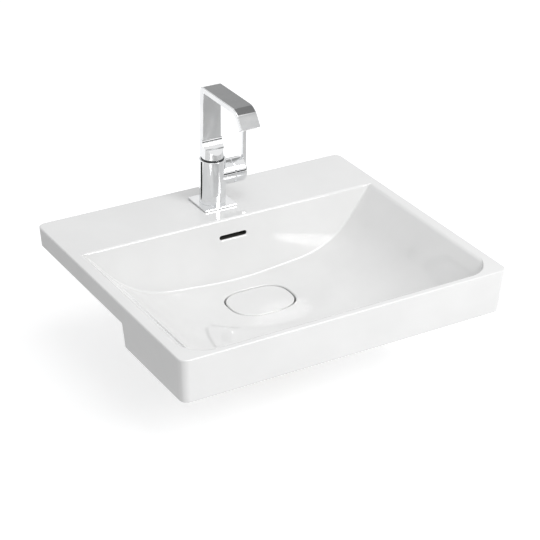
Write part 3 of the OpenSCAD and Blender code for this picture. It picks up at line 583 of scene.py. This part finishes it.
# %% Oval cover
EASE, SUNK = 2.2, 0.25    # radius of the upper edge, and how far the top lies below the dish
top = lambda down: lambda x, y: DRAIN + (x * x + (y - DRAIN_Y) ** 2) / (2 * DISH_R) - down
rings = [oval(COVER_A - 1, COVER_B - 1, -79.5), oval(COVER_A - 0.3, COVER_B - 0.3, -79.2),
         oval(COVER_A, COVER_B, -78.5)]
for a in quarter:
    rings.append(oval(COVER_A - EASE * (1 - math.cos(a)), COVER_B - EASE * (1 - math.cos(a)),
                      top(SUNK + EASE * (1 - math.sin(a)))))
for share in (0.9, 0.75, 0.6, 0.45, 0.3, 0.15, 0.04):
    rings.append(oval((COVER_A - EASE) * share, (COVER_B - EASE) * share, top(SUNK)))
cover = loft("cover_glazed", rings)
smoothed(cover, 35)
stands_for(cover, "cover", "glaze", "waste_cover")

# %% [markdown]
# ## The tap
# The tap is cast in brass, ground flat and round, and chromed. Its edges are crisp, but each has a
# tiny bevel that catches the light, and that is what makes a rendered metal edge look real. The
# body is a cylinder on a square plate, and the housing of the lever runs out of it to the right,
# ending in a dome that the hub slides over. The inner ways are bored as on the real one, for the
# pieces inside.

# %% Base plate
TAP = (0, TAP_Y, 0)
PLATE_HALF, PLATE_TOP = 28.5, 36
plate = block("tap_base_plate", (-PLATE_HALF, TAP_Y - PLATE_HALF, RIM + 1),
              (PLATE_HALF, TAP_Y + PLATE_HALF, PLATE_TOP))
round_edges(plate, upright, 1.0, 4)
round_edges(plate, level(PLATE_TOP), 0.5, 3)
combine(plate, rod("plate_hole", 16.55, (0, TAP_Y, 30), (0, TAP_Y, 40)))
smoothed(plate)
stands_for(plate, "basin", "chrome", "base_plate")

# %% Body with the housing of the lever
LEVER_Z, PIVOT, HOUSING_R, BODY_R, BODY_TOP = 81.0, 22.0, 20, 21, 109.5
LEVER = (0, TAP_Y, LEVER_Z)
DOME = math.hypot(HOUSING_R, 9)


def dome_arc(radius, angles):
    """(along, radius) points of a dome about the lever's pivot, at angles in degrees."""
    return [(PIVOT + radius * math.cos(math.radians(a)), radius * math.sin(math.radians(a)))
            for a in angles]


body = turned("tap_body_chromed", [(PLATE_TOP, 0), (PLATE_TOP, 20.6), (36.4, BODY_R),
    (109, BODY_R), (109.15, 20.96), (109.4, 20.75), (BODY_TOP, 20.5), (BODY_TOP, 0)], TAP, "Z", 160)
housing = turned("housing", [(0, 0), (0, HOUSING_R), (30.7, HOUSING_R), (30.92, 19.94)]
    + dome_arc(DOME, range(64, 0, -4)) + [(PIVOT + DOME, 0)], LEVER, "X", 128)
combine(body, housing, "UNION")
combine(body, rod("spigot", 16.5, (0, TAP_Y, 28.5), (0, TAP_Y, 37)), "UNION")
combine(body, rod("cartridge_bore", 12.8, (8, TAP_Y, LEVER_Z), (60, TAP_Y, LEVER_Z)))
combine(body, rod("mixing_bore", 6, (-3, TAP_Y, LEVER_Z), (12, TAP_Y, LEVER_Z)))
combine(body, rod("spout_socket", 12.05, (0, TAP_Y, 96.4), (0, TAP_Y, 120)))
combine(body, rod("riser_bore", 3.5, (0, TAP_Y, LEVER_Z), (0, TAP_Y, 97)))
for side in (-9.5, 9.5):
    combine(body, rod("inlet", 4.5, (-4, TAP_Y + side, 20), (-4, TAP_Y + side, 46.5), 48))
combine(body, rod("stud_hole", 4.05, (9.5, TAP_Y, 20), (9.5, TAP_Y, 40.5), 48))
LOCK_Z = 105.015
combine(body, rod("lock_hole", 2.05, (0, TAP_Y + 11, LOCK_Z), (0, TAP_Y + 30, LOCK_Z), 48))
smoothed(body)
stands_for(body, "basin", "chrome", "tap_body")

# %% Swivel ring
ring = turned("swivel_ring_dark", [(BODY_TOP, 12.35), (BODY_TOP, 18.2), (109.7, 18.5),
    (110.7, 18.5), (110.9, 18.2), (110.9, 12.35)], TAP, "Z", 128)
smoothed(ring)
stands_for(ring, "basin", "black_plastic", "swivel_ring")

# %% Hub and blade of the lever
SEAM, HUB_END, HUB_R, WAY = 0.35, 53, 3.5, 4.05
HOLLOW = DOME + SEAM
rim_x, set_x = PIVOT + math.sqrt(HOLLOW ** 2 - HOUSING_R ** 2), PIVOT + HOLLOW + SEAM + 2
hub = turned("lever_hub_chromed", dome_arc(HOLLOW, range(0, 62, 4))
    + [(rim_x + 0.25, 19.2), (rim_x + 0.95, HOUSING_R)]
    + [(HUB_END - HUB_R + HUB_R * math.sin(a), HOUSING_R - HUB_R + HUB_R * math.cos(a))
       for a in quarter] + [(HUB_END, 0)], LEVER, "X", 160)
combine(hub, block("stem_way", (40, TAP_Y - WAY, LEVER_Z - WAY),
                   (49.65, TAP_Y + WAY, LEVER_Z + WAY)))
combine(hub, rod("tenon_hole", WAY, (50.55, TAP_Y, LEVER_Z), (56, TAP_Y, LEVER_Z), 48))
combine(hub, rod("set_hole", 2.05, (set_x, TAP_Y, LEVER_Z - 4), (set_x, TAP_Y, LEVER_Z - 24), 48))
smoothed(hub)
stands_for(hub, "lever", "chrome", "lever_hub")

blade = block("lever_blade_chromed", (HUB_END, TAP_Y - 3.5, LEVER_Z - 19.5),
              (59, TAP_Y + 3.5, LEVER_Z + 78))
round_edges(blade, lambda e: True, 0.7, 3)
combine(blade, rod("tenon", 4, (50.6, TAP_Y, LEVER_Z), (54, TAP_Y, LEVER_Z), 48), "UNION")
smoothed(blade)
stands_for(blade, "lever", "chrome", "lever_blade")

# %% [markdown]
# ## The spout
# The spout is a flat strip that rises behind the tap's axis, turns forward in a tight bend and
# dips down at its nose. Its foot is round, to sit on the ring, and sweeps into the strip. Strip
# and foot are cut as sheets from their side outlines and extruded to their widths. The foot is
# then kept only where it lies in a cylinder, and both are joined.

# %% Outline of the strip
SPOUT_TOP, SPOUT_FOOT, SPOUT_HALF, ARM = 198.0 + RIM, 111.25, 16.5, 9.5
RISER_BACK, RISER_FRONT, HEAD_R, THROAT_R = TAP_Y + 12, TAP_Y + 1.5, 11, 2
NOSE_Y, NOSE_R, NOSE_LENGTH, NOSE_TURN = TAP_Y - 86, 27, 17, 56


def bend(y, z, r, a0, a1, n=14):
    """Arc of (y, z) points about a centre, between two angles in degrees."""
    return [(y + r * math.cos(math.radians(a0 + (a1 - a0) * i / n)),
             z + r * math.sin(math.radians(a0 + (a1 - a0) * i / n))) for i in range(n + 1)]


def strip_outline(t, foot, past=0.0):
    """Side outline of the strip, or with t that of the water's way inside it."""
    end, dip, nose_z = 90 + NOSE_TURN, math.radians(NOSE_TURN), SPOUT_TOP - NOSE_R
    along = (-math.cos(dip) * (NOSE_LENGTH + past), -math.sin(dip) * (NOSE_LENGTH + past))
    outer = bend(NOSE_Y, nose_z, NOSE_R - t, 90, end, 22)
    inner = bend(NOSE_Y, nose_z, NOSE_R - ARM + t, end, 90, 22)
    tip, heel = ((y + along[0], z + along[1]) for y, z in (outer[-1], inner[0]))
    head = bend(RISER_BACK - HEAD_R, SPOUT_TOP - HEAD_R, HEAD_R - t, 0, 90)
    throat = bend(RISER_FRONT - THROAT_R, SPOUT_TOP - ARM - THROAT_R, THROAT_R + t, 90, 0, 8)
    return ([(RISER_BACK - t, foot)] + head + outer + [tip, heel] + inner + throat
            + [(RISER_FRONT + t, foot)])


spout = prism("spout_chromed", strip_outline(0, SPOUT_FOOT), -SPOUT_HALF, SPOUT_HALF)
flat_side = all_points(lambda x, y, z: near(abs(x), SPOUT_HALF))
level_across = lambda e: near(e.verts[0].co.x, e.verts[1].co.x, 1e-6)
round_edges(spout, lambda e: flat_side(e) and level_across(e), 1.4, 4)
print("spout strip:", len(spout.data.polygons), "faces")

# %% Foot, shank and the way of the water
FOOT_R, FOOT_RISE, SWEEP_R, SHANK_R, GROOVE_R = 17.5, 9, 15, 12, 10.4
turn = math.degrees(math.acos((SWEEP_R - 1.5 - 10.5) / SWEEP_R))
sweep_z = SPOUT_FOOT + FOOT_RISE + 7.3 + SWEEP_R * math.sin(math.radians(turn))
foot = prism("foot", [(RISER_BACK, SPOUT_FOOT), (RISER_BACK, sweep_z)]
    + bend(RISER_FRONT - SWEEP_R, sweep_z, SWEEP_R, 0, -turn, 20)
    + [(TAP_Y - FOOT_R, SPOUT_FOOT + FOOT_RISE), (TAP_Y - FOOT_R, SPOUT_FOOT)], -18, 18)
foot_rod = rod("foot_rod", FOOT_R, (0, TAP_Y, SPOUT_FOOT), (0, TAP_Y, 200), 160)
round_edges(foot_rod, level(SPOUT_FOOT), 0.5, 3)
combine(foot, foot_rod, "INTERSECT")
combine(spout, foot, "UNION")
seal_groove = ((-1.3, 0), (-1.25, 2.45), (1.25, 2.45), (1.3, 0))
seal_grooves = [(z + dz, SHANK_R - r) for z in (98.635, 101.68) for dz, r in seal_groove]
lock_groove = [(LOCK_Z - 1.5, SHANK_R), (LOCK_Z - 1.5, GROOVE_R),
               (LOCK_Z + 1.5, GROOVE_R), (LOCK_Z + 1.5, SHANK_R)]
shank = turned("shank", [(96.75, 0), (96.75, SHANK_R)] + seal_grooves + lock_groove
    + [(112, SHANK_R), (112, 0)], TAP, "Z", 96)
combine(spout, shank, "UNION")
combine(spout, prism("water_way", strip_outline(2.2, SPOUT_FOOT + 8.75, 1.0), -12, 12))
combine(spout, rod("shank_bore", 8, (0, TAP_Y, 95), (0, TAP_Y, SPOUT_FOOT + 10.75)))
smoothed(spout)
stands_for(spout, "spout", "chrome", "spout")

# %% [markdown]
# ## Finishes
# A finish is more than a colour. Glaze is a thin layer of glass over white ceramic: it is smooth
# but never perfectly flat, so its reflections swim a little, and it pools slightly in tone. Chrome
# is a mirror with a trace of polish marks. Each finish here is a Principled shader with noise on
# the piece's own coordinates for tone, roughness and a fine relief.

# %% One recipe for all finishes
def finish(name, dark, light, metal, rough, tone_size, grain_size, relief, stretch=(1, 1, 1),
           **sockets):
    """A finish whose tone lies between two colours, with roughness from rough[0] to rough[1]."""
    made = bpy.data.materials.new(name)
    made.use_nodes = True
    nodes, links = made.node_tree.nodes, made.node_tree.links
    shader = nodes["Principled BSDF"]
    shader.inputs["Metallic"].default_value = metal
    for socket, value in sockets.items():
        shader.inputs[socket.replace("_", " ")].default_value = value
    where, turn_to = nodes.new("ShaderNodeTexCoord"), nodes.new("ShaderNodeMapping")
    turn_to.inputs["Scale"].default_value = stretch
    links.new(where.outputs["Object"], turn_to.inputs["Vector"])
    noises = {}
    for part, size, detail in (("tone", tone_size, 3), ("grain", grain_size, 4)):
        noise = nodes.new("ShaderNodeTexNoise")
        noise.inputs["Scale"].default_value = 1 / mm(size)
        noise.inputs["Detail"].default_value = detail
        links.new(turn_to.outputs["Vector"], noise.inputs["Vector"])
        noises[part] = noise
    ramp = nodes.new("ShaderNodeValToRGB")
    ramp.color_ramp.elements[0].position, ramp.color_ramp.elements[1].position = 0.35, 0.65
    ramp.color_ramp.elements[0].color, ramp.color_ramp.elements[1].color = (*dark, 1), (*light, 1)
    links.new(noises["tone"].outputs["Fac"], ramp.inputs["Fac"])
    links.new(ramp.outputs["Color"], shader.inputs["Base Color"])
    spread = nodes.new("ShaderNodeMapRange")
    spread.inputs["From Min"].default_value, spread.inputs["From Max"].default_value = 0.3, 0.7
    spread.inputs["To Min"].default_value, spread.inputs["To Max"].default_value = rough
    links.new(noises["grain"].outputs["Fac"], spread.inputs["Value"])
    links.new(spread.outputs["Result"], shader.inputs["Roughness"])
    bump = nodes.new("ShaderNodeBump")
    bump.inputs["Strength"].default_value = 1.0
    bump.inputs["Distance"].default_value = mm(relief)
    links.new(noises["grain"].outputs["Fac"], bump.inputs["Height"])
    links.new(bump.outputs["Normal"], shader.inputs["Normal"])
    return made


finishes = {
    "glaze": finish("white glaze", (0.80, 0.80, 0.795), (0.83, 0.83, 0.825), 0,
        (0.06, 0.12), 90, 14, 0.003, Coat_Weight=0.6, Coat_Roughness=0.03, IOR=1.5),
    "chrome": finish("polished chrome", (0.76, 0.77, 0.78), (0.82, 0.825, 0.83), 1,
        (0.03, 0.06), 30, 6, 0.0006),
    "steel": finish("brushed steel", (0.50, 0.50, 0.51), (0.64, 0.64, 0.65), 1,
        (0.22, 0.38), 4, 1.2, 0.02, stretch=(1, 1, 0.12)),
    "brass": finish("turned brass", (0.55, 0.40, 0.17), (0.70, 0.53, 0.25), 1,
        (0.2, 0.36), 6, 1.0, 0.02, stretch=(1, 1, 6)),
    "rubber": finish("black rubber", (0.018, 0.018, 0.02), (0.04, 0.04, 0.042), 0,
        (0.55, 0.75), 5, 0.8, 0.03),
    "black_plastic": finish("dark moulded plastic", (0.018, 0.019, 0.021), (0.035, 0.036, 0.038),
        0, (0.32, 0.45), 8, 0.6, 0.015),
    "white_plastic": finish("white moulded plastic", (0.66, 0.66, 0.64), (0.76, 0.76, 0.74), 0,
        (0.35, 0.5), 8, 0.6, 0.015),
    "disc_ceramic": finish("ground ceramic", (0.74, 0.70, 0.62), (0.84, 0.81, 0.74), 0,
        (0.2, 0.3), 3, 0.5, 0.005),
}
print("finishes:", ", ".join(finishes))

# %% Dress every piece
slots = {s["node"]: s["material_slot"] for s in frame["record"]["subparts"]}
dressed = [(node, slots[name]) for name, node in frame["nodes"].items()]
dressed += [(basin, "glaze"), (cover, "glaze"), (plate, "chrome"), (body, "chrome"),
            (hub, "chrome"), (blade, "chrome"), (spout, "chrome"), (ring, "black_plastic")]
for piece, kind in dressed:
    piece.data.materials.clear()
    piece.data.materials.append(finishes[kind])

# the inside of the overflow duct gets a near-black finish: painted shade for the dark deep in the
# duct, not a colour of the ceramic
basin.data.materials.append(finish("painted shade in the duct", (0.030, 0.029, 0.027), (0.045, 0.043, 0.040), 0,
    (0.7, 0.9), 10, 1.5, 0.05))
for face in basin.data.polygons:
    x, y, z = (1000 * c for c in face.center)
    if abs(x) < DUCT_HALF + 1 and 2.4 < y - wall_at(0)(z) < 18.6 and -60 < z < 14:
        face.material_index = 1
print("dressed:", len(frame["nodes"]), "nodes and 8 new pieces")

# %% [markdown]
# ## Floor, light and camera
# White ceramic on white shows only through soft shade, so one large light gives the direction, a
# weak one from above opens the bowl, and the world fills the rest at a plain level. The floor is
# clear from below, so that the underside can be looked at too. Chrome shows what stands round it:
# without something dark to reflect it looks like white plastic.

# %% Floor and world
GROUND = -178    # just under the lowest point of the part
bpy.ops.object.select_all(action="DESELECT")
bpy.ops.mesh.primitive_plane_add(size=8, location=mm(0, MID_Y, GROUND))
floor = named("floor")


def seen_rays(tree):
    """Node output that is 1 for camera, glossy and transmission rays, which show a background."""
    rays = tree.nodes.new("ShaderNodeLightPath")
    total = None
    for ray in ("Is Camera Ray", "Is Glossy Ray", "Is Transmission Ray"):
        if total is None:
            total = rays.outputs[ray]
            continue
        either = tree.nodes.new("ShaderNodeMath")
        either.operation = "MAXIMUM"
        tree.links.new(total, either.inputs[0])
        tree.links.new(rays.outputs[ray], either.inputs[1])
        total = either.outputs[0]
    return total


paper = bpy.data.materials.new("pale floor")
paper.use_nodes = True
tree = paper.node_tree
matt = tree.nodes["Principled BSDF"]
matt.inputs["Base Color"].default_value = (0.82, 0.82, 0.82, 1)
matt.inputs["Roughness"].default_value = 0.9
glow, nothing = tree.nodes.new("ShaderNodeEmission"), tree.nodes.new("ShaderNodeEmission")
glow.inputs["Strength"].default_value, nothing.inputs["Strength"].default_value = 0.50, 0.0
choose, both = tree.nodes.new("ShaderNodeMixShader"), tree.nodes.new("ShaderNodeAddShader")
tree.links.new(seen_rays(tree), choose.inputs[0])
tree.links.new(nothing.outputs[0], choose.inputs[1])
tree.links.new(glow.outputs[0], choose.inputs[2])
tree.links.new(matt.outputs[0], both.inputs[0])
tree.links.new(choose.outputs[0], both.inputs[1])
below, clear = tree.nodes.new("ShaderNodeNewGeometry"), tree.nodes.new("ShaderNodeBsdfTransparent")
one_side = tree.nodes.new("ShaderNodeMixShader")    # from below, the floor is clear
tree.links.new(below.outputs["Backfacing"], one_side.inputs[0])
tree.links.new(both.outputs[0], one_side.inputs[1])
tree.links.new(clear.outputs[0], one_side.inputs[2])
tree.links.new(one_side.outputs[0], tree.nodes["Material Output"].inputs["Surface"])
floor.data.materials.append(paper)

world = bpy.data.worlds.new("studio")
bpy.context.scene.world = world
world.use_nodes = True
tree = world.node_tree
tree.nodes.clear()
fill, white = tree.nodes.new("ShaderNodeBackground"), tree.nodes.new("ShaderNodeBackground")
fill.inputs["Color"].default_value = (0.985, 0.99, 1.0, 1)
fill.inputs["Strength"].default_value = 0.53
white.inputs["Strength"].default_value = 1.0
white.inputs["Color"].default_value = (1, 1, 1, 1)
mix, out = tree.nodes.new("ShaderNodeMixShader"), tree.nodes.new("ShaderNodeOutputWorld")
tree.links.new(seen_rays(tree), mix.inputs[0])
tree.links.new(fill.outputs[0], mix.inputs[1])
tree.links.new(white.outputs[0], mix.inputs[2])
tree.links.new(mix.outputs[0], out.inputs[0])


def lamp(name, place, size, power, aim=(0, -235, 0)):
    """A soft square lamp that looks at the basin."""
    light = bpy.data.lights.new(name, "AREA")
    light.shape, light.size, light.energy = "SQUARE", size, power
    holder = bpy.data.objects.new(name, light)
    holder.location = place
    holder.rotation_euler = (Vector(mm(*aim)) - Vector(place)).to_track_quat("-Z", "Y").to_euler()
    bpy.context.scene.collection.objects.link(holder)


lamp("key lamp", (1.0, -2.4, 1.8), 1.3, 42)
lamp("top lamp", (-0.2, -0.8, 2.7), 1.4, 14)
print("lamps and world set")

# %% [markdown]
# ## Cards for the chrome
# A photographer stands grey and black cards round a chromed tap. The camera never sees them, but
# the metal does, and their edges draw its curves. They are hidden from every ray but the glossy
# ones, so they cast no shadow and take no light away. Each card is also clear to rays that come
# from farther than its reach, or from behind it, so that the glaze of the basin keeps a clean
# white.

# %% Cards
def card(piece, tone, reach):
    """Makes a piece a card of one grey that only near reflections see, on its front."""
    made = bpy.data.materials.new(piece.name)
    made.use_nodes = True
    tree = made.node_tree
    tree.nodes.clear()
    glow, clear = tree.nodes.new("ShaderNodeEmission"), tree.nodes.new("ShaderNodeBsdfTransparent")
    rays, side = tree.nodes.new("ShaderNodeLightPath"), tree.nodes.new("ShaderNodeNewGeometry")
    far, hide = tree.nodes.new("ShaderNodeMath"), tree.nodes.new("ShaderNodeMath")
    mix, out = tree.nodes.new("ShaderNodeMixShader"), tree.nodes.new("ShaderNodeOutputMaterial")
    glow.inputs["Color"].default_value, glow.inputs["Strength"].default_value = (1, 1, 1, 1), tone
    far.operation, hide.operation = "GREATER_THAN", "MAXIMUM"
    far.inputs[1].default_value = mm(reach)
    tree.links.new(rays.outputs["Ray Length"], far.inputs[0])
    tree.links.new(far.outputs[0], hide.inputs[0])
    tree.links.new(side.outputs["Backfacing"], hide.inputs[1])
    tree.links.new(hide.outputs[0], mix.inputs[0])
    tree.links.new(glow.outputs[0], mix.inputs[1])
    tree.links.new(clear.outputs[0], mix.inputs[2])
    tree.links.new(mix.outputs[0], out.inputs[0])
    piece.data.materials.append(made)
    piece.visible_camera = piece.visible_diffuse = piece.visible_shadow = False
    piece.visible_transmission = piece.visible_volume_scatter = False


def facing_card(name, towards, away, width, height, tone, reach):
    """A card that faces the tap's arm from a direction."""
    arm, way = Vector((0, TAP_Y - 70, 228)), Vector(towards).normalized()
    bpy.ops.object.select_all(action="DESELECT")
    bpy.ops.mesh.primitive_plane_add(size=1, location=mm(*(arm + away * way)),
        rotation=(-way).to_track_quat("Z", "Y").to_euler())
    bpy.ops.transform.resize(value=(mm(width), mm(height), 1), orient_type="LOCAL")
    card(named(name), tone, reach)


facing_card("card behind", (0.457, 0.754, 0.472), 350, 320, 270, 0.38, 430)
facing_card("card above", (0.457, 0.03, 0.883), 300, 300, 190, 0.24, 370)
facing_card("card in front", (0.457, -0.72, 0.522), 350, 320, 240, 0.64, 430)
bpy.ops.object.select_all(action="DESELECT")
bpy.ops.mesh.primitive_plane_add(size=1, location=mm(-475, 50, GROUND + 2))
bpy.ops.transform.resize(value=(0.30, 1.1, 1))
card(named("grey card beside the basin"), 0.40, 450)
ways = [math.radians(a) for a in (120, 145)]
wedge = mesh_piece("black wedge on the ledge", [
    (r * math.cos(a) - BODY_R, TAP_Y + r * math.sin(a), 40)
    for r, a in ((4, ways[0]), (4, ways[1]), (150, ways[1]), (150, ways[0]))], [], [(0, 3, 2, 1)])
print("the wedge faces up:", wedge.data.polygons[0].normal.z > 0)
card(wedge, 0.01, 400)
bpy.ops.object.select_all(action="DESELECT")
bpy.ops.mesh.primitive_cylinder_add(vertices=64, radius=3, depth=0.5, end_fill_type="NOTHING",
    location=(0, 0, 0.1))
horizon = named("horizon card")
pick(horizon, "FACE")
bpy.ops.mesh.flip_normals()
leave()
card(horizon, 0.03, 9000)
print("cards placed")

# %% Camera
lens = bpy.data.cameras.new("camera")
lens.lens, lens.sensor_width, lens.clip_end = 120.35, 36, 50
camera = bpy.data.objects.new("camera", lens)
ahead = Vector((0.45721676, 0.75367334, -0.47215393))
right = Vector((0.85950804, -0.51084323, 0.01688549))
upward = right.cross(ahead)
camera.matrix_world = Matrix((
    (right.x, upward.x, -ahead.x, -1.2514), (right.y, upward.y, -ahead.y, -2.3023),
    (right.z, upward.z, -ahead.z, 1.2873), (0, 0, 0, 1)))
bpy.context.scene.collection.objects.link(camera)
bpy.context.scene.camera = camera
bpy.context.scene.view_settings.view_transform = "Standard"
print("camera at", [round(c, 3) for c in camera.location])
